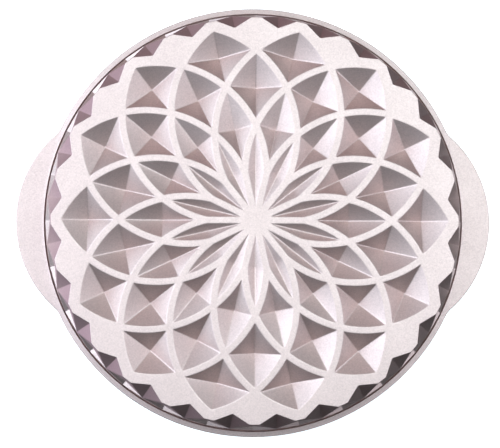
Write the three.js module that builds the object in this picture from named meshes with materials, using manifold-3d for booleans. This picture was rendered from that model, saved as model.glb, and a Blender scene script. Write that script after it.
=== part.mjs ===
// Decorative cake pan: a single aluminium casting with a sprayed non-stick coat.
// It stands upside down on its rim, so z = 0 is the plane of the mouth, the rosette
// is on top, and +X points through the right handle. Millimetres.
// The casting is given as five zones that meet face to face on flat planes.
import * as THREE from 'three';
import { mergeVertices } from 'three/addons/utils/BufferGeometryUtils.js';
import Module from 'manifold-3d';

const wasm = await Module();
wasm.setup();

// Rosette: equal circles that all pass through the middle of the panel.
// A pocket fills each cell between them, and what lies on the circles stays as a rib.
// Pockets of the innermost ring are petals that run in towards a plain hub.
const circleCount = 14;
const circleRadius = 63;
const ribWidth = 3.7;
const grooveWidth = 1.6; // of the grooves inside the pan, between the backs of the pockets
const pocketSlope = THREE.MathUtils.degToRad(35);
const outerRing = 3; // a cell of the outermost ring of pockets lies inside 3 circles

// Casting
const panHeight = 46;
const panelThickness = 2.5;
const wallThickness = 3; // measured along the radius

// Star outline of the panel, and the faceted wall between it and the round foot.
// Heights of the wall's corners are measured from the flange.
const tipLand = 2.8; // from the tip of an outer pocket to the inside face of the wall
const tipFlat = 5.8;
const notchDepth = 5.4;
const ridgeFlare = 5.4; // how far a ridge leans out from its tip
const ridgeFootHeight = 4.5;
const ledgeWidth = 4.3; // from a ridge's foot out to the round foot
const grooveFootHeight = 14.5;
const grooveFootSetback = 2.3; // from the round foot in to a groove's foot

// Rim
const flangeThickness = 3.5;
const flangeWidth = 3.1;
const edgeRadius = 1.5;

// Handles: segments of a circle that reach out past the flange
const handleReach = 13.7;
const handleRadius = 70;
const handleBlend = 12;

// Fineness of the round stretches, and what counts as one point
const pocketArcSteps = 4;
const rimArcStep = THREE.MathUtils.degToRad(4);
const edgeSteps = 3;
const samePoint = 1e-4;
const cutMargin = 5; // how far a cutting solid runs past what it cuts

// Worked out from the sizes above
const circleStep = (2 * Math.PI) / circleCount;
const innerRing = Math.floor(circleCount / 2) - 1;
const ribHalf = ribWidth / 2;
const bossRibHalf = grooveWidth / 2;
const bossDrop = panelThickness / Math.cos(pocketSlope);
const tipCount = 2 * circleCount;
const tipPitch = (2 * Math.PI) / tipCount;
const tipRadius = cellCorners(outerRing, ribHalf).outer.x + tipLand + wallThickness;
const notchRadius = tipRadius - notchDepth;
const ridgeFoot = { radius: tipRadius + ridgeFlare, z: flangeThickness + ridgeFootHeight };
const roundFoot = { radius: ridgeFoot.radius + ledgeWidth, z: flangeThickness };
const grooveFoot = {
  radius: roundFoot.radius - grooveFootSetback,
  z: flangeThickness + grooveFootHeight,
};
const flangeRadius = roundFoot.radius + flangeWidth;
const panelUnderZ = panHeight - panelThickness;
const handleEndX = flangeRadius + handleReach;
const handleCentreX = handleEndX - handleRadius;

const coat = { color: '#d9c9c4', roughness: 0.42, metalness: 0.55 };

// Small geometry helpers

function polar(radius, angle, z = 0) {
  return new THREE.Vector3(radius * Math.cos(angle), radius * Math.sin(angle), z);
}

function turned(points, angle) {
  return points.map((p) => p.clone().applyAxisAngle(new THREE.Vector3(0, 0, 1), angle));
}

// Points along an arc from one angle to another, without the last one
function arcPoints(centre, radius, from, to, steps) {
  const angles = Array.from({ length: steps }, (_, i) => from + ((to - from) * i) / steps);
  return angles.map((angle) => polar(radius, angle).add(centre));
}

// The arc of a circle from point to point, the short way round
function arcBetween(centre, radius, start, end, steps) {
  const from = Math.atan2(start.y - centre.y, start.x - centre.x);
  const to = Math.atan2(end.y - centre.y, end.x - centre.x);
  const sweep = THREE.MathUtils.euclideanModulo(to - from + Math.PI, 2 * Math.PI) - Math.PI;
  return arcPoints(centre, radius, from, from + sweep, steps);
}

function atHeight(points, z) {
  return points.map((p) => new THREE.Vector3(p.x, p.y, z));
}

// Triangles between two loops of equally many points, lower loop first, facing
// outwards where the loops run anticlockwise. Points that coincide give no triangle.
function skin(lower, upper) {
  const triangles = [];
  lower.forEach((a, i) => {
    const j = (i + 1) % lower.length;
    triangles.push([a, lower[j], upper[j]], [a, upper[j], upper[i]]);
  });
  const apart = (p, q) => p.distanceTo(q) > samePoint;
  return triangles.filter(([p, q, r]) => apart(p, q) && apart(q, r) && apart(r, p));
}

// A flat face with holes, facing up
function flatFace(contour, holes) {
  const points = [...contour, ...holes.flat()];
  const faces = THREE.ShapeUtils.triangulateShape([...contour], holes.map((hole) => [...hole]));
  return faces.map((face) => {
    const [p, q, r] = face.map((index) => points[index]);
    const turn = (q.x - p.x) * (r.y - p.y) - (q.y - p.y) * (r.x - p.x);
    return turn > 0 ? [p, q, r] : [p, r, q];
  });
}

function facingDown(triangles) {
  return triangles.map(([p, q, r]) => [p, r, q]);
}

function closedGeometry(triangles) {
  const soup = new THREE.BufferGeometry().setFromPoints(triangles.flat());
  return mergeVertices(soup, samePoint);
}

function toSolid(geometry) {
  const bare = geometry.clone();
  bare.deleteAttribute('normal');
  bare.deleteAttribute('uv');
  const merged = mergeVertices(bare, samePoint);
  const vertProperties = new Float32Array(merged.attributes.position.array);
  const triVerts = new Uint32Array(merged.index.array);
  return new wasm.Manifold(new wasm.Mesh({ numProp: 3, vertProperties, triVerts }));
}

function toGeometry(solid) {
  const mesh = solid.getMesh();
  const geometry = new THREE.BufferGeometry();
  geometry.setAttribute('position', new THREE.BufferAttribute(mesh.vertProperties, 3));
  geometry.setIndex(new THREE.BufferAttribute(mesh.triVerts, 1));
  return geometry;
}

function zone(name, geometry) {
  geometry.computeVertexNormals();
  const mesh = new THREE.Mesh(geometry, new THREE.MeshStandardMaterial({ ...coat, flatShading: true }));
  mesh.name = name;
  return mesh;
}

// Rosette cells. A cell that lies inside n circles is bounded outside by the two
// outermost of them and inside by the two next circles, which it lies outside of.
// The innermost cells are petals instead: straight ribs that run out from the hub part them.
// All is worked out for a cell whose axis is +X and then turned to its place.

function circleCentre(turns) {
  return polar(circleRadius, turns * circleStep);
}

// Where a circle crosses the +X axis, the far crossing
function axisCrossing(turns, radius) {
  const centre = circleCentre(turns);
  return new THREE.Vector3(centre.x + Math.sqrt(radius ** 2 - centre.y ** 2), 0, 0);
}

// Where two circles cross, the crossing farther from the middle of the panel
function farCrossing(centreA, radiusA, centreB, radiusB) {
  const between = centreB.clone().sub(centreA);
  const distance = between.length();
  const along = (distance ** 2 + radiusA ** 2 - radiusB ** 2) / (2 * distance);
  const across = Math.sqrt(radiusA ** 2 - along ** 2);
  const direction = between.normalize();
  const foot = centreA.clone().addScaledVector(direction, along);
  const side = new THREE.Vector3(-direction.y, direction.x, 0);
  const options = [across, -across].map((step) => foot.clone().addScaledVector(side, step));
  return options[0].length() > options[1].length() ? options[0] : options[1];
}

// Where a petal's straight edge, beside the rib at half a step from +X, meets a circle
function ribCrossing(centre, radius, half) {
  const along = polar(1, circleStep / 2);
  const start = polar(half, circleStep / 2 - Math.PI / 2).sub(centre);
  const nearest = -start.dot(along);
  const distance = nearest + Math.sqrt(nearest ** 2 - start.lengthSq() + radius ** 2);
  return start.addScaledVector(along, distance).add(centre);
}

function cellCorners(n, half) {
  const outerTurns = (n - 1) / 2;
  const innerTurns = (n + 1) / 2;
  const within = circleRadius - half;
  const beyond = circleRadius + half;
  const outerCentre = circleCentre(-outerTurns);
  const petal = n === innerRing;
  return {
    outer: axisCrossing(outerTurns, within),
    side: petal
      ? ribCrossing(outerCentre, within, half)
      : farCrossing(outerCentre, within, circleCentre(innerTurns), beyond),
    inner: petal
      ? new THREE.Vector3(half / Math.sin(circleStep / 2), 0, 0)
      : axisCrossing(innerTurns, beyond),
  };
}

// The cell's outline, anticlockwise, with half a rib's width left along each of its edges
function cellOutline(n, half) {
  const { outer, side, inner } = cellCorners(n, half);
  const outerCentre = circleCentre(-(n - 1) / 2);
  const innerCentre = circleCentre((n + 1) / 2);
  const innerEdge =
    n === innerRing ? [side] : arcBetween(innerCentre, circleRadius + half, side, inner, pocketArcSteps);
  const upper = [
    ...arcBetween(outerCentre, circleRadius - half, outer, side, pocketArcSteps),
    ...innerEdge,
  ];
  const mirrored = upper.slice(1).reverse().map((p) => new THREE.Vector3(p.x, -p.y, 0));
  return [...upper, inner, ...mirrored];
}

// The lowest point of a pocket lies between its side corners, and its outer facets
// fall at the pocket slope.
function pocketApex(n) {
  const apex = new THREE.Vector3(cellCorners(n, ribHalf).side.x, 0, 0);
  const toOuterEdge = circleRadius - ribHalf - circleCentre((n - 1) / 2).distanceTo(apex);
  return apex.setZ(panHeight - toOuterEdge * Math.tan(pocketSlope));
}

// A petal's sides fall at the pocket slope and meet in a valley over its axis. This gives
// the point of the valley that lies straight in from each point of the outline.
function petalValley(outline) {
  return outline.map((p, i) => {
    const along = outline[(i + 1) % outline.length].clone().sub(outline.at(i - 1)).normalize();
    const run = Math.abs(p.y) > samePoint ? p.y / along.x : 0;
    return new THREE.Vector3(p.x + along.y * run, 0, p.z - Math.abs(run) * Math.tan(pocketSlope));
  });
}

// Every cell of the rosette, as an outline at one height and, for each of its points,
// the lowest point that the facet there runs down to
function rosetteCells(half, z, apexDrop) {
  const cells = [];
  for (let n = outerRing; n <= innerRing; n += 1) {
    const outline = atHeight(cellOutline(n, half), z);
    const apex = pocketApex(n).sub(new THREE.Vector3(0, 0, apexDrop));
    const lowest = n === innerRing ? petalValley(outline) : outline.map(() => apex);
    const offset = n % 2 === 1 ? 0 : circleStep / 2;
    for (let i = 0; i < circleCount; i += 1) {
      const angle = offset + i * circleStep;
      cells.push({ outline: turned(outline, angle), lowest: turned(lowest, angle) });
    }
  }
  return cells;
}

function facets({ outline, lowest }) {
  return skin(outline, lowest);
}

// Side wall. A ridge runs down from each blunt tip and a groove from each notch. The
// grooves' feet stand out past the ridges, so each ridge ends on a small folded ledge
// between two of them, and the flat facets between all these corners are triangles.

function wallSection(z, inset) {
  const towards = (foot, corner, angle) =>
    corner.lerp(polar(foot.radius - inset, angle), (panHeight - z) / (panHeight - foot.z));
  const points = [];
  for (let k = 0; k < tipCount; k += 1) {
    const tipAngle = k * tipPitch;
    const notchAngle = tipAngle + tipPitch / 2;
    const corner = (side, angle) =>
      turned([new THREE.Vector3(tipRadius - inset, (side * tipFlat) / 2, 0)], angle)[0];
    points.push(
      towards(ridgeFoot, corner(-1, tipAngle), tipAngle),
      towards(ridgeFoot, corner(1, tipAngle), tipAngle),
      towards(grooveFoot, corner(1, tipAngle), notchAngle),
      towards(grooveFoot, polar(notchRadius - inset, notchAngle), notchAngle),
      towards(grooveFoot, corner(-1, tipAngle + tipPitch), notchAngle),
    );
  }
  return atHeight(points, z);
}

// A loop with as many points as a section, all drawn in to one corner under each tip
// and one under each notch
function footLoop(underTip, underNotch, inset) {
  const points = [];
  for (let k = 0; k < tipCount; k += 1) {
    const tipPoint = polar(underTip.radius - inset, k * tipPitch, underTip.z);
    const notchPoint = polar(underNotch.radius - inset, (k + 0.5) * tipPitch, underNotch.z);
    points.push(tipPoint, tipPoint, notchPoint, notchPoint, notchPoint);
  }
  return points;
}

function withoutRepeats(points) {
  return points.filter((p, i) => p.distanceTo(points.at(i - 1)) > samePoint);
}

function sideWall() {
  const downwards = (inset) => [
    wallSection(panelUnderZ, inset),
    footLoop(ridgeFoot, grooveFoot, inset),
    footLoop(roundFoot, grooveFoot, inset),
    footLoop(roundFoot, roundFoot, inset),
  ];
  const loops = [...downwards(wallThickness), ...downwards(0).reverse()];
  const triangles = loops.flatMap((loop, i) => skin(loop, loops[(i + 1) % loops.length]));
  return zone('side_wall', closedGeometry(triangles));
}

function rosettePanel() {
  const pockets = rosetteCells(ribHalf, panHeight, 0);
  const bosses = rosetteCells(bossRibHalf, panelUnderZ, bossDrop);
  const topLoop = wallSection(panHeight, 0);
  const underLoop = wallSection(panelUnderZ, 0);
  const triangles = [
    ...flatFace(withoutRepeats(topLoop), pockets.map((cell) => cell.outline)),
    ...pockets.flatMap(facets),
    ...facingDown(flatFace(underLoop, bosses.map((cell) => cell.outline))),
    ...facingDown(bosses.flatMap(facets)),
    ...skin(underLoop, topLoop),
  ];
  return zone('rosette_panel', closedGeometry(triangles));
}

// Rim and handles. The flange and both handles are one flat outline with a rounded
// upper edge, cut along the planes that touch the wall's foot under the handles.

function brimOutline() {
  const blendX =
    ((flangeRadius + handleBlend) ** 2 - (handleRadius + handleBlend) ** 2 + handleCentreX ** 2) /
    (2 * handleCentreX);
  const blendY = Math.sqrt((flangeRadius + handleBlend) ** 2 - blendX ** 2);
  const rimAngle = Math.atan2(blendY, blendX);
  const handleAngle = Math.atan2(blendY, blendX - handleCentreX);
  const steps = (sweep) => 2 * Math.ceil(Math.abs(sweep) / (2 * rimArcStep));
  const arc = (x, y, radius, from, to) =>
    arcPoints(new THREE.Vector3(x, y, 0), radius, from, to, steps(to - from));
  const halfTurn = [
    ...arc(handleCentreX, 0, handleRadius, -handleAngle, handleAngle),
    ...arc(blendX, blendY, handleBlend, handleAngle + Math.PI, rimAngle + Math.PI),
    ...arc(0, 0, flangeRadius, rimAngle, Math.PI - rimAngle),
    ...arc(-blendX, blendY, handleBlend, -rimAngle, -handleAngle),
  ];
  return [...halfTurn, ...turned(halfTurn, Math.PI)];
}

function brim() {
  const geometry = new THREE.ExtrudeGeometry(new THREE.Shape(brimOutline()), {
    depth: 2 * (flangeThickness - edgeRadius),
    bevelThickness: edgeRadius,
    bevelSize: edgeRadius,
    bevelOffset: -edgeRadius,
    bevelSegments: edgeSteps,
  });
  geometry.translate(0, 0, edgeRadius - flangeThickness);
  return toSolid(geometry);
}

// A box that stands on the plane of the mouth and keeps what lies between two values of x
function slab(fromX, toX) {
  const depth = 2 * (flangeRadius + cutMargin);
  const height = flangeThickness + cutMargin;
  const geometry = new THREE.BoxGeometry(toX - fromX, depth, height);
  return toSolid(geometry.translate((fromX + toX) / 2, 0, height / 2));
}

function mouth() {
  const outline = withoutRepeats(footLoop(roundFoot, roundFoot, wallThickness));
  const geometry = new THREE.ExtrudeGeometry(new THREE.Shape(outline), {
    depth: flangeThickness + 2 * cutMargin,
    bevelEnabled: false,
  });
  return toSolid(geometry.translate(0, 0, -cutMargin));
}

function rimFlange(wholeBrim) {
  const solid = wholeBrim.intersect(slab(-roundFoot.radius, roundFoot.radius)).subtract(mouth());
  return zone('rim_flange', toGeometry(solid));
}

function handle(name, wholeBrim, side) {
  const root = side * roundFoot.radius;
  const past = side * (handleEndX + cutMargin);
  return zone(name, toGeometry(wholeBrim.intersect(slab(Math.min(root, past), Math.max(root, past)))));
}

const wholeBrim = brim();
const pan = new THREE.Group();
pan.name = 'decorative_cake_pan';
pan.add(
  rosettePanel(),
  sideWall(),
  rimFlange(wholeBrim),
  handle('handle_left', wholeBrim, -1),
  handle('handle_right', wholeBrim, 1),
);

export default pan;
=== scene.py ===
from math import atan2, ceil, cos, pi, radians, sin, sqrt, tan

import bpy
from mathutils import Matrix, Vector


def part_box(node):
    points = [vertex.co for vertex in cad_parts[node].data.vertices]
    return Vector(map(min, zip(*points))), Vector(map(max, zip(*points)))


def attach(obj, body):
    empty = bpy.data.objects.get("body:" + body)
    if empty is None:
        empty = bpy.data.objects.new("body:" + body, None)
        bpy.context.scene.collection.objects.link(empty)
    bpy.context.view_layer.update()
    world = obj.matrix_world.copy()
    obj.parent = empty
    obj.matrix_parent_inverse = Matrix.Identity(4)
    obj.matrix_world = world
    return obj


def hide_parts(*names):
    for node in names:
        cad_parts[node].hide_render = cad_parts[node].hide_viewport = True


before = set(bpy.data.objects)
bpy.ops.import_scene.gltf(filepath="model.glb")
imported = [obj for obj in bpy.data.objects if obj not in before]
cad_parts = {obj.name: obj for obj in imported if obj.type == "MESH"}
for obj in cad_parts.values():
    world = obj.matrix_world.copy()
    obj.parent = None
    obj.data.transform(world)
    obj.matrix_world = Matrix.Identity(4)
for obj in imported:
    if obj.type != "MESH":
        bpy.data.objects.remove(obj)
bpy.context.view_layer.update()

print("frame loaded:", ", ".join(sorted(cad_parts)))

mm = 0.001
hair = 0.05 * mm  # keeps faces that meet from lying in one plane
samePlace = 0.001 * mm  # points nearer than this count as one
roundSteps = 3  # faces across a rounded edge
softEdge = radians(28)  # edges that turn less than this are shaded round

# Heights and radii that the CAD zones already hold
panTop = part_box("rosette_panel")[1][2]
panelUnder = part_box("side_wall")[1][2]
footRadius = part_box("side_wall")[1][0]
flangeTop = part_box("rim_flange")[1][2]
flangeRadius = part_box("rim_flange")[1][1]
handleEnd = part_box("handle_right")[1][0]


# Hand tools: selection, edit mode, booleans and outlines

def pickObject(piece):
    bpy.ops.object.select_all(action="DESELECT")
    piece.select_set(True)
    bpy.context.view_layer.objects.active = piece


def edit(piece):  # with all its faces picked
    pickObject(piece)
    bpy.ops.object.mode_set(mode="EDIT")
    bpy.ops.mesh.select_mode(type="FACE")
    bpy.ops.mesh.select_all(action="SELECT")


def done():
    bpy.ops.object.mode_set(mode="OBJECT")


def pick(piece, kind, test):  # selects the edges or polygons that pass the test
    bpy.ops.mesh.select_mode(type={"edges": "EDGE", "polygons": "FACE"}[kind])
    bpy.ops.mesh.select_all(action="DESELECT")
    bpy.ops.object.mode_set(mode="OBJECT")
    for item in getattr(piece.data, kind):
        item.select = test(item)
    bpy.ops.object.mode_set(mode="EDIT")


def edgeEnds(piece, edge):
    return [piece.data.vertices[i].co for i in edge.vertices]


def combine(piece, tool, operation):  # boolean, and the tool is used up
    pickObject(piece)
    cut = piece.modifiers.new(operation.lower(), "BOOLEAN")
    cut.operation = operation
    cut.object = tool
    cut.solver = "EXACT"
    bpy.ops.object.modifier_apply(modifier=cut.name)
    bpy.data.objects.remove(tool)


def plate(name, points):  # a circle pulled into an outline
    bpy.ops.object.select_all(action="DESELECT")
    bpy.ops.mesh.primitive_circle_add(vertices=len(points), radius=footRadius, fill_type="NGON")
    piece = bpy.context.object
    piece.name = name
    for vertex, point in zip(piece.data.vertices, points):
        vertex.co = point
    return piece


def extrude(distance):
    bpy.ops.mesh.extrude_region_move(TRANSFORM_OT_translate={"value": (0, 0, distance)})


def nextRing(piece, before, after):  # extrudes the picked face and sets its outline anew
    extrude(-mm)
    done()
    for vertex in piece.data.vertices[-len(after):]:  # extrude keeps x and y, but not the order
        match = min(range(len(before)), key=lambda i: (before[i].xy - vertex.co.xy).length)
        vertex.co = after[match]
    bpy.ops.object.mode_set(mode="EDIT")


def loft(name, rings):  # a plate drawn out from ring to ring, with its end face left picked
    piece = plate(name, rings[0])
    edit(piece)
    for before, after in zip(rings, rings[1:]):
        nextRing(piece, before, after)
    return piece


def atHeight(points, z):
    return [Vector((point.x, point.y, z)) for point in points]


def polar(radius, angle):
    return Vector((radius * cos(angle), radius * sin(angle), 0))


def arc(centre, radius, start, end, steps):  # without its last point
    return [centre + polar(radius, start + (end - start) * i / steps) for i in range(steps)]


# Rosette: circles through the middle of the panel, with a pocket in each cell between them

rosette = {
    "circles": 14,
    "circleRadius": 63 * mm,
    "ribWidth": 3.7 * mm,
    "grooveWidth": 1.6 * mm,  # inside the pan, between the backs of the pockets
    "slope": radians(35),
    "rings": (3, 4, 5, 6),  # a pocket of ring 3 lies inside three circles; ring 6 holds the petals
    "arcSteps": 10,
    "valleyRound": 0.5 * mm,
    "valleyShare": 0.4,  # the most of a facet that the valley's rounding takes
    "valleySteps": (1, 0.5, 0),
    "lip": 0.5 * mm,  # how far the lip's rounding reaches to either side
    "bossLip": 0.3 * mm,
    "lipShare": 0.5,  # the most of a facet that the lip's rounding takes
    "lipSteps": (0.3, 0.65, 1),
    "toolRise": 5 * mm,  # how far a cutter stands out of what it cuts
}
circleStep = 2 * pi / rosette["circles"]


def circleCentre(turns):
    return polar(rosette["circleRadius"], turns * circleStep)


def axisCrossing(turns, radius):
    centre = circleCentre(turns)
    return Vector((centre.x + sqrt(radius ** 2 - centre.y ** 2), 0, 0))


def farCrossing(centreA, radiusA, centreB, radiusB):
    between = centreB - centreA
    along = (between.length ** 2 + radiusA ** 2 - radiusB ** 2) / (2 * between.length)
    across = sqrt(radiusA ** 2 - along ** 2)
    direction = between.normalized()
    foot = centreA + direction * along
    side = Vector((-direction.y, direction.x, 0))
    return max(foot + side * across, foot - side * across, key=lambda point: point.length)


def ribCrossing(centre, radius, half):  # where a petal's straight edge meets a circle
    along = polar(1, circleStep / 2)
    start = polar(half, circleStep / 2 - pi / 2) - centre
    nearest = -start.dot(along)
    return start + along * (nearest + sqrt(nearest ** 2 - start.length_squared + radius ** 2)) + centre


def arcBetween(centre, radius, start, end):
    a, b = start - centre, end - centre
    turn = atan2(a.x * b.y - a.y * b.x, a.dot(b))
    first = atan2(a.y, a.x)
    return arc(centre, radius, first, first + turn, rosette["arcSteps"])


def cell(ring, half):  # outline of one cell on +X, with half a rib left round it
    inside, outside = rosette["circleRadius"] - half, rosette["circleRadius"] + half
    outerCentre, innerCentre = circleCentre(-(ring - 1) / 2), circleCentre((ring + 1) / 2)
    outer = axisCrossing((ring - 1) / 2, inside)
    if ring == rosette["rings"][-1]:  # petals, parted by straight ribs that run out from the hub
        side = ribCrossing(outerCentre, inside, half)
        inner = Vector((half / sin(circleStep / 2), 0, 0))
        innerEdge = [side.lerp(inner, i / rosette["arcSteps"]) for i in range(rosette["arcSteps"])]
    else:
        side = farCrossing(outerCentre, inside, innerCentre, outside)
        inner = axisCrossing((ring + 1) / 2, outside)
        innerEdge = arcBetween(innerCentre, outside, side, inner)
    upper = arcBetween(outerCentre, inside, outer, side) + innerEdge
    lower = [Vector((point.x, -point.y, 0)) for point in reversed(upper[1:])]
    return upper + [inner] + lower


def apexOf(ring):  # between the side corners, as deep as the slope of the outer facets makes it
    half = rosette["ribWidth"] / 2
    x = cell(ring, half)[rosette["arcSteps"]].x
    toEdge = rosette["circleRadius"] - half - (Vector((x, 0, 0)) - circleCentre((ring - 1) / 2)).length
    return Vector((x, 0, panTop - toEdge * tan(rosette["slope"])))


def valleyUnder(rim):  # where the sides of a petal, falling at the slope, meet over its axis
    points = []
    for i, point in enumerate(rim):
        along = rim[(i + 1) % len(rim)] - rim[i - 1]
        run = point.y / along.x if abs(point.y) > samePlace else 0
        fall = abs(run) * along.length * tan(rosette["slope"])
        points.append(Vector((point.x + along.y * run, 0, point.z - fall)))
    return points


def lipRings(ring, half, rimZ, lip, lowest):  # roll over from the panel's face to the facets
    rim = atHeight(cell(ring, half), rimZ)
    edge = atHeight(cell(ring, half - lip), rimZ)
    most = rosette["lipShare"]
    facet = [a.lerp(b, min(most, lip / max((b - a).length, lip))) for a, b in zip(rim, lowest)]
    rings = [atHeight(edge, rimZ + rosette["toolRise"]), edge]
    for u in rosette["lipSteps"]:
        rings.append([a.lerp(b, u).lerp(b.lerp(c, u), u) for a, b, c in zip(edge, rim, facet)])
    return rings


def petalCutter(ring, half, rimZ, lip):
    rim = atHeight(cell(ring, half), rimZ)
    lowest = valleyUnder(rim)
    rings = lipRings(ring, half, rimZ, lip, lowest)
    for u in rosette["valleySteps"]:  # rounds the valley's bottom
        points = []
        for a, b in zip(rim, lowest):
            run = (a - b).xy.length
            reach = min(rosette["valleyRound"], rosette["valleyShare"] * run)
            points.append(b.lerp(a, u * reach / max(run, hair)))
            points[-1].z = b.z + (1 + u * u) / 2 * reach * tan(rosette["slope"])
        rings.append(points)
    tool = loft(f"cutter_{ring}", rings)
    bpy.ops.mesh.delete(type="ONLY_FACE")
    bpy.ops.mesh.select_all(action="SELECT")
    bpy.ops.mesh.remove_doubles(threshold=samePlace)
    done()
    return tool


def pocketCutter(ring, half, rimZ, drop, lip):
    apex = apexOf(ring) - Vector((0, 0, drop))
    rings = lipRings(ring, half, rimZ, lip, [apex] * len(cell(ring, half)))
    tool = loft(f"cutter_{ring}", rings)
    bpy.ops.mesh.poke()
    done()
    tool.data.vertices[-1].co = apex
    corners = [apex] + [point for points in rings for point in points[::rosette["arcSteps"]]]

    def isRidge(item):  # runs down into the pocket from corner to corner
        ends = edgeEnds(tool, item)
        falls = abs(ends[0].z - ends[1].z) > samePlace
        return falls and all(any((end - corner).length < samePlace for corner in corners) for end in ends)

    edit(tool)
    pick(tool, "edges", isRidge)
    bpy.ops.mesh.bevel(offset=rosette["valleyRound"], segments=roundSteps, clamp_overlap=False)
    done()
    return tool


def cutter(ring, half, rimZ, drop, lip):  # one pocket's cutter, copied round its ring
    if ring == rosette["rings"][-1]:
        tool = petalCutter(ring, half, rimZ, lip)
    else:
        tool = pocketCutter(ring, half, rimZ, drop, lip)
    if ring % 2 == 0:  # even rings stand half a step round from odd ones
        tool.data.transform(Matrix.Rotation(circleStep / 2, 4, "Z"))
    edit(tool)
    copies = rosette["circles"] - 1
    bpy.ops.mesh.spin(steps=copies, dupli=True, angle=copies * circleStep, center=(0, 0, 0), axis=(0, 0, 1))
    done()
    return tool


def cutters(name, half, rimZ, drop, lip):
    tools = [cutter(ring, half, rimZ, drop, lip) for ring in rosette["rings"]]
    pickObject(tools[0])
    for tool in tools:
        tool.select_set(True)
    bpy.ops.object.join()
    tools[0].name = name
    edit(tools[0])  # the copies of a spin may be inside out
    bpy.ops.mesh.normals_make_consistent(inside=False)
    done()
    return tools[0]


# Brim: flange and handles in one flat outline with a rounded edge. The flange's face falls a little
# towards its edge, and a fine crease parts it from the wall's foot.

brim = {
    "handleRadius": 70 * mm,
    "handleBlend": 12 * mm,
    "fall": 0.5 * mm,
    "crease": 0.9 * mm,  # how far the wall's foot is set back for it
    "creaseDepth": 1.4 * mm,
    "creaseBottom": 0.81 * mm,  # its bottom edge lies this far inside the foot's radius
    "creaseTop": 0.18 * mm,  # and the cutter's top this far outside
    "creaseRise": 1 * mm,  # how far the cutter stands above the flange
    "underWall": 3.6 * mm,  # how far the flange's face goes on, hidden, under the wall
    "edgeRound": 0.5 * mm,
    "underRound": 0.4 * mm,
    "roundSteps": 4,
    "arcStep": radians(1.5),
}


def brimOutline():
    radius, blend = brim["handleRadius"], brim["handleBlend"]
    handleX = handleEnd - radius
    blendX = ((flangeRadius + blend) ** 2 - (radius + blend) ** 2 + handleX ** 2) / (2 * handleX)
    blendY = sqrt((flangeRadius + blend) ** 2 - blendX ** 2)
    rimAngle, handleAngle = atan2(blendY, blendX), atan2(blendY, blendX - handleX)
    half = []
    for x, y, r, start, end in (
            (handleX, 0, radius, -handleAngle, handleAngle),
            (blendX, blendY, blend, handleAngle + pi, rimAngle + pi),
            (0, 0, flangeRadius, rimAngle, pi - rimAngle),
            (-blendX, blendY, blend, -rimAngle, -handleAngle)):
        half += arc(Vector((x, y, 0)), r, start, end, 2 * ceil(abs(end - start) / (2 * brim["arcStep"])))
    return half + [Vector((-point.x, -point.y, 0)) for point in half]


def frustum(name, bottom, top, turn=0):  # radius and height of its two ends
    bpy.ops.object.select_all(action="DESELECT")
    bpy.ops.mesh.primitive_cone_add(
        vertices=round(2 * pi / brim["arcStep"]), radius1=bottom[0], radius2=top[0],
        depth=top[1] - bottom[1], location=(0, 0, (bottom[1] + top[1]) / 2), rotation=(0, 0, turn))
    piece = bpy.context.object
    piece.name = name
    return piece


def brimPlate():
    piece = plate("brim", brimOutline())
    edit(piece)
    extrude(flangeTop)
    bpy.ops.mesh.select_all(action="SELECT")
    bpy.ops.mesh.normals_make_consistent(inside=False)
    for z, size in ((flangeTop, brim["edgeRound"]), (0, brim["underRound"])):
        pick(piece, "edges", lambda edge: all(abs(end.z - z) < samePlace for end in edgeEnds(piece, edge)))
        bpy.ops.mesh.bevel(offset=size, segments=brim["roundSteps"], clamp_overlap=False)
    done()
    outer, inner = flangeRadius - brim["edgeRound"], footRadius - brim["underWall"]
    rise = brim["fall"] / (outer - footRadius) * (outer - inner)
    face = frustum("flange_face", (outer, flangeTop - hair), (inner, flangeTop - hair + rise))
    combine(piece, face, "UNION")
    bottom = (footRadius - brim["creaseBottom"], flangeTop - brim["creaseDepth"])
    top = (footRadius + brim["creaseTop"], flangeTop + brim["creaseRise"])
    groove = frustum("crease_cutter", bottom, top, brim["arcStep"] / 2)  # turned, so no edges coincide
    combine(piece, groove, "DIFFERENCE")
    return piece


# Wall: a ridge under each tip and a groove under each notch, down to a round foot.
# The grooves' feet stand out past the ridges, so each ridge ends on a small folded ledge.

wall = {
    "thickness": 3 * mm,  # along the radius
    "tipLand": 2.8 * mm,
    "tipFlat": 5.8 * mm,
    "notchDepth": 5.4 * mm,
    "ridgeFlare": 5.4 * mm,
    "ridgeFootHeight": 5.6 * mm,  # all heights are above the flange
    "grooveFootHeight": 10.5 * mm,
    "grooveFootSetback": 2.7 * mm,
    "stepWidth": 1.6 * mm,  # the steep last stretch
    "stepHeight": 4.6 * mm,
    "valleyFlat": 0.6 * mm,  # takes the sharpness out of the valleys
    "edgeRound": 0.35 * mm,
    "axisShare": 0.2,  # of the way from a tip to a notch, how much counts as under either
    "seat": 2 * mm,  # how deep the wall is sunk into the flange
}
halfPitch = pi / (2 * rosette["circles"])
tipRadius = cell(rosette["rings"][0], rosette["ribWidth"] / 2)[0].x + wall["tipLand"] + wall["thickness"]


def onAxis(point):  # under a tip or a notch, and not between them
    steps = atan2(point.y, point.x) / halfPitch
    return abs(steps - round(steps)) < wall["axisShare"]


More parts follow.
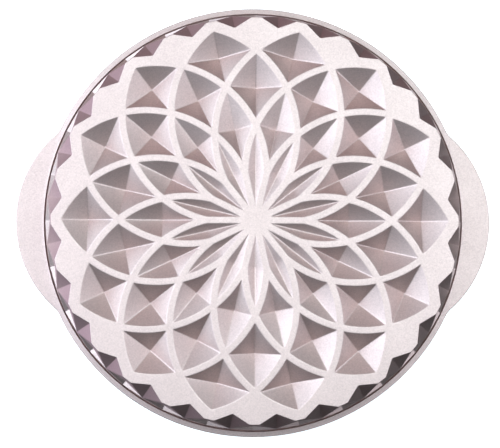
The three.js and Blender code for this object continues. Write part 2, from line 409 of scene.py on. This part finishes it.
def flutedBlock(name, inset, seat):
    flat = wall["valleyFlat"]
    step = (footRadius - wall["stepWidth"], flangeTop + wall["stepHeight"])
    foot = (footRadius - brim["crease"], flangeTop)
    levels = (  # width, radius and height under a tip, then under a notch
        ((wall["tipFlat"], tipRadius, panTop), (flat, tipRadius - wall["notchDepth"], panTop)),
        ((flat, tipRadius + wall["ridgeFlare"], flangeTop + wall["ridgeFootHeight"]),
         (flat, footRadius - wall["grooveFootSetback"], flangeTop + wall["grooveFootHeight"])),
        ((flat, *step), (flat, *step)),
        ((flat, *foot), (flat, *foot)),
    )
    rings = []
    for level in levels:
        points = []
        for k in range(4 * rosette["circles"]):
            width, radius, z = level[k % 2]
            turn = Matrix.Rotation(k * halfPitch, 3, "Z")
            points += [turn @ Vector((radius - inset, side * width / 2, z)) for side in (-1, 1)]
        rings.append(points)
    block = loft(name, rings)
    extrude(-seat)
    bpy.ops.mesh.select_all(action="SELECT")
    bpy.ops.mesh.normals_make_consistent(inside=False)

    def reachesTop(item):
        return max(block.data.vertices[i].co.z for i in item.vertices) > panelUnder

    for upper, diagonal in ((True, "SHORTEST_DIAGONAL"), (False, "LONGEST_DIAGONAL")):
        pick(block, "polygons", lambda face: len(face.vertices) == 4 and not onAxis(face.center)
             and reachesTop(face) == upper)
        bpy.ops.mesh.quads_convert_to_tris(quad_method=diagonal)
    pick(block, "edges", lambda edge: min(end.z for end in edgeEnds(block, edge)) > panelUnder)
    bpy.ops.mesh.bevel(offset=wall["edgeRound"], segments=roundSteps, clamp_overlap=False)
    bpy.ops.mesh.select_all(action="SELECT")
    bpy.ops.mesh.normals_make_consistent(inside=False)
    done()
    return block


# The casting: outside block and brim, less the pockets, less the core that leaves the cavity

def castPan():
    pan = flutedBlock("cake_pan_casting", 0, wall["seat"])
    combine(pan, brimPlate(), "UNION")
    pocketTools = cutters("pocket_cutters", rosette["ribWidth"] / 2, panTop, 0, rosette["lip"])
    combine(pan, pocketTools, "DIFFERENCE")
    print("outside cast:", len(pan.data.polygons), "faces")

    core = flutedBlock("core", wall["thickness"], flangeTop + rosette["toolRise"])
    edit(core)
    bpy.ops.mesh.bisect(plane_co=(0, 0, panelUnder), plane_no=(0, 0, 1), use_fill=True, clear_outer=True)
    done()
    drop = (panTop - panelUnder) / cos(rosette["slope"])
    bossTools = cutters("boss_cutters", rosette["grooveWidth"] / 2, panelUnder, drop, rosette["bossLip"])
    combine(core, bossTools, "DIFFERENCE")
    combine(pan, core, "DIFFERENCE")
    print("cavity cut:", len(pan.data.polygons), "faces")
    return pan


def finishMesh(piece):  # faces with more than four corners are split, then soft edges are shaded round
    pickObject(piece)
    split = piece.modifiers.new("split", "TRIANGULATE")
    split.min_vertices = 5
    bpy.ops.object.modifier_apply(modifier=split.name)
    bpy.ops.object.shade_smooth_by_angle(angle=softEdge)
    normals = piece.modifiers.new("normals", "WEIGHTED_NORMAL")
    normals.keep_sharp = True
    bpy.ops.object.modifier_apply(modifier=normals.name)


pan = castPan()
finishMesh(pan)
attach(pan, "root")
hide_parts("rosette_panel", "side_wall", "rim_flange", "handle_left", "handle_right")
print("pan finished:", len(pan.data.polygons), "faces")


# Colours and shader nodes

def hexColour(text):  # sRGB hex to linear
    parts = [int(text[i:i + 2], 16) / 255 for i in (1, 3, 5)]
    return [part / 12.92 if part <= 0.04045 else ((part + 0.055) / 1.055) ** 2.4 for part in parts] + [1]


def addNode(tree, kind, settings=None, inputs=None, links=None):
    node = tree.nodes.new(kind)
    for name, value in (settings or {}).items():
        setattr(node, name, value)
    for name, value in (inputs or {}).items():
        node.inputs[name].default_value = value
    for name, socket in (links or {}).items():
        tree.links.new(socket, node.inputs[name])
    return node


def newMaterial(name):
    material = bpy.data.materials.new(name)
    material.use_nodes = True
    tree = material.node_tree
    return material, tree, tree.nodes["Principled BSDF"]


# Metallic non-stick coat, sprayed on cast aluminium and baked: satin champagne-rose metal,
# whose flakes and spray grain make each facet sparkle finely instead of one even tone.

coat = {
    "dark": "#BFA9A5",
    "light": "#CEB7B3",
    "grain": 0.9 * mm,  # about ten times the real spray grain, to show at all
    "flake": 0.7 * mm,  # metal flakes, drawn as coarse as the grain
    "flakeShare": 0.3,  # of the speckle, the rest is grain
    "mottle": 25 * mm,  # passes of the spray gun
    "mottleShare": 0.25,  # of the tone, the rest is speckle
    "toneEnds": (0.3, 0.7),  # the tones that get the dark and the light colour
    "relief": 0.012 * mm,
    "roughness": (0.51, 0.58),
}


def sprayedCoat():
    material, tree, shader = newMaterial("metallic_non_stick_coat")
    place = addNode(tree, "ShaderNodeTexCoord").outputs["Object"]
    grain = addNode(tree, "ShaderNodeTexNoise",
                    inputs={"Scale": 1 / coat["grain"], "Detail": 2}, links={"Vector": place})
    flake = addNode(tree, "ShaderNodeTexVoronoi",
                    inputs={"Scale": 1 / coat["flake"]}, links={"Vector": place})
    mottle = addNode(tree, "ShaderNodeTexNoise",
                     inputs={"Scale": 1 / coat["mottle"], "Detail": 3}, links={"Vector": place})
    glint = addNode(tree, "ShaderNodeSeparateColor", links={"Color": flake.outputs["Color"]})
    speckle = addNode(tree, "ShaderNodeMix", inputs={"Factor": coat["flakeShare"]},
                      links={"A": grain.outputs["Fac"], "B": glint.outputs["Red"]})
    tone = addNode(tree, "ShaderNodeMix", inputs={"Factor": coat["mottleShare"]},
                   links={"A": speckle.outputs["Result"], "B": mottle.outputs["Fac"]})
    tint = addNode(tree, "ShaderNodeValToRGB", links={"Fac": tone.outputs["Result"]})
    ends, colours = coat["toneEnds"], (coat["dark"], coat["light"])
    for stop, position, colour in zip(tint.color_ramp.elements, ends, colours):
        stop.position = position
        stop.color = hexColour(colour)
    smooth, rough = coat["roughness"]
    gloss = addNode(tree, "ShaderNodeMapRange", links={"Value": tone.outputs["Result"]},
                    inputs={"From Min": ends[0], "From Max": ends[1], "To Min": rough, "To Max": smooth})
    relief = addNode(tree, "ShaderNodeBump", links={"Height": speckle.outputs["Result"]},
                     inputs={"Strength": 1, "Distance": coat["relief"]})
    shader.inputs["Metallic"].default_value = 1
    tree.links.new(tint.outputs["Color"], shader.inputs["Base Color"])
    tree.links.new(gloss.outputs["Result"], shader.inputs["Roughness"])
    tree.links.new(relief.outputs["Normal"], shader.inputs["Normal"])
    return material


pan.data.materials.clear()
pan.data.materials.append(sprayedCoat())
print("coat sprayed")


# Floor of frosted opal acrylic, lit from below: matt white with its own light, so it shows no shadow

acrylic = {
    "shade": "#F1F0EF",
    "white": "#F8F7F6",
    "frosting": 1.2 * mm,
    "relief": 0.02 * mm,
    "roughness": 0.9,
    "light": 0.6,
    "size": 12,  # metres
}


def opalAcrylic():
    material, tree, shader = newMaterial("opal_acrylic")
    place = addNode(tree, "ShaderNodeTexCoord").outputs["Object"]
    frosting = addNode(tree, "ShaderNodeTexNoise",
                       inputs={"Scale": 1 / acrylic["frosting"], "Detail": 4}, links={"Vector": place})
    tint = addNode(tree, "ShaderNodeValToRGB", links={"Fac": frosting.outputs["Fac"]})
    for stop, colour in zip(tint.color_ramp.elements, (acrylic["shade"], acrylic["white"])):
        stop.color = hexColour(colour)
    relief = addNode(tree, "ShaderNodeBump", links={"Height": frosting.outputs["Fac"]},
                     inputs={"Strength": 1, "Distance": acrylic["relief"]})
    shader.inputs["Roughness"].default_value = acrylic["roughness"]
    shader.inputs["Emission Color"].default_value = hexColour(acrylic["white"])
    shader.inputs["Emission Strength"].default_value = acrylic["light"]
    tree.links.new(tint.outputs["Color"], shader.inputs["Base Color"])
    tree.links.new(relief.outputs["Normal"], shader.inputs["Normal"])
    return material


bpy.ops.object.select_all(action="DESELECT")
bpy.ops.mesh.primitive_plane_add(size=acrylic["size"], location=(0, 0, -hair))
floor = bpy.context.object
floor.name = "floor"
floor.data.materials.append(opalAcrylic())
floor.visible_glossy = False  # the photographed wall mirrors dark surroundings, not a floor
print("floor laid")


# Camera nearly straight above, a little to the left and to the front

view = {
    "distance": 742.3 * mm,  # from the rosette's plane
    "tiltLeft": radians(1.334),
    "tiltFront": radians(1.462),
    "roll": radians(0.275),
    "aim": Vector((-3.17 * mm, -2.2 * mm, panTop)),
    "lens": 93.06,  # millimetres, as Blender wants it
    "clipStart": 50 * mm,
}
back = Vector((-tan(view["tiltLeft"]), -tan(view["tiltFront"]), 1)).normalized()
camera = bpy.data.objects.new("camera", bpy.data.cameras.new("camera"))
bpy.context.scene.collection.objects.link(camera)
camera.data.lens = view["lens"]
camera.data.clip_start = view["clipStart"]
camera.location = view["aim"] + back * view["distance"]
right = Vector((0, 1, 0)).cross(back).normalized()
turn = Matrix((right, back.cross(right), back)).transposed() @ Matrix.Rotation(view["roll"], 3, "Z")
camera.rotation_euler = turn.to_euler()
bpy.context.scene.camera = camera


# Soft light from the sides, the back and above, strongest from the left; the front stays dark

softboxes = {  # azimuth and elevation in degrees, width and height in metres, watts, colour
    "left_softbox": (170, 30, 1.8, 1.6, 33, "#D9F2FF"),
    "high_left_softbox": (175, 60, 1.2, 1.0, 9, "#E4EEFF"),
    "right_softbox": (0, 30, 1.0, 1.5, 8, "#EAF4FF"),
    "high_right_softbox": (0, 60, 1.2, 1.0, 8, "#E4F3FF"),
    "back_right_softbox": (45, 62, 1.0, 1.0, 6, "#D6FBFF"),
    "back_softbox": (90, 30, 1.0, 1.2, 1.6, "#FFA8A0"),
    "top_softbox": (90, 84, 0.9, 0.9, 7, "#E8FDFC"),
}
boxDistance = 1.5  # metres, from the middle of the pan's mouth
boxTarget = Vector((0, 0, 30 * mm))


def softbox(name, azimuth, elevation, width, height, power, colour):
    lamp = bpy.data.lights.new(name, "AREA")
    lamp.shape = "RECTANGLE"
    lamp.size = width
    lamp.size_y = height
    lamp.energy = power
    lamp.color = hexColour(colour)[:3]
    light = bpy.data.objects.new(name, lamp)
    bpy.context.scene.collection.objects.link(light)
    level = polar(boxDistance * cos(radians(elevation)), radians(azimuth))
    light.location = level + Vector((0, 0, boxDistance * sin(radians(elevation))))
    light.rotation_euler = (boxTarget - light.location).to_track_quat("-Z", "Y").to_euler()


for name, settings in softboxes.items():
    softbox(name, *settings)
print("softboxes:", len(softboxes))

# What the steep wall mirrors lies low: dark, but for a pale glow on the left and a rosy one at the back

glows = {  # direction, narrowness (an odd power, or the far side would glow too), strength, colour
    "left": ((-0.9, 0, -0.43), 7, 1.3, "#EADAFF"),
    "back": ((-0.35, 0.35, -0.87), 3, 0.35, "#FFB0C4"),
}
world = bpy.data.worlds.new("studio")
bpy.context.scene.world = world
world.use_nodes = True
sky = world.node_tree
place = addNode(sky, "ShaderNodeTexCoord").outputs["Generated"]
seen = sky.nodes["Background"].inputs["Color"]
for direction, narrowness, strength, colour in glows.values():
    towards = addNode(sky, "ShaderNodeVectorMath", {"operation": "DOT_PRODUCT"}, {1: direction}, {0: place})
    fade = addNode(sky, "ShaderNodeMath", {"operation": "POWER", "use_clamp": True}, {1: narrowness},
                   {0: towards.outputs["Value"]})
    tinted = addNode(sky, "ShaderNodeVectorMath", {"operation": "MULTIPLY_ADD"},
                     {0: [strength * part for part in hexColour(colour)[:3]], 2: (0, 0, 0)},
                     {1: fade.outputs[0]})
    sky.links.new(tinted.outputs["Vector"], seen)
    seen = tinted.inputs[2]
bpy.context.scene.view_settings.view_transform = "Standard"
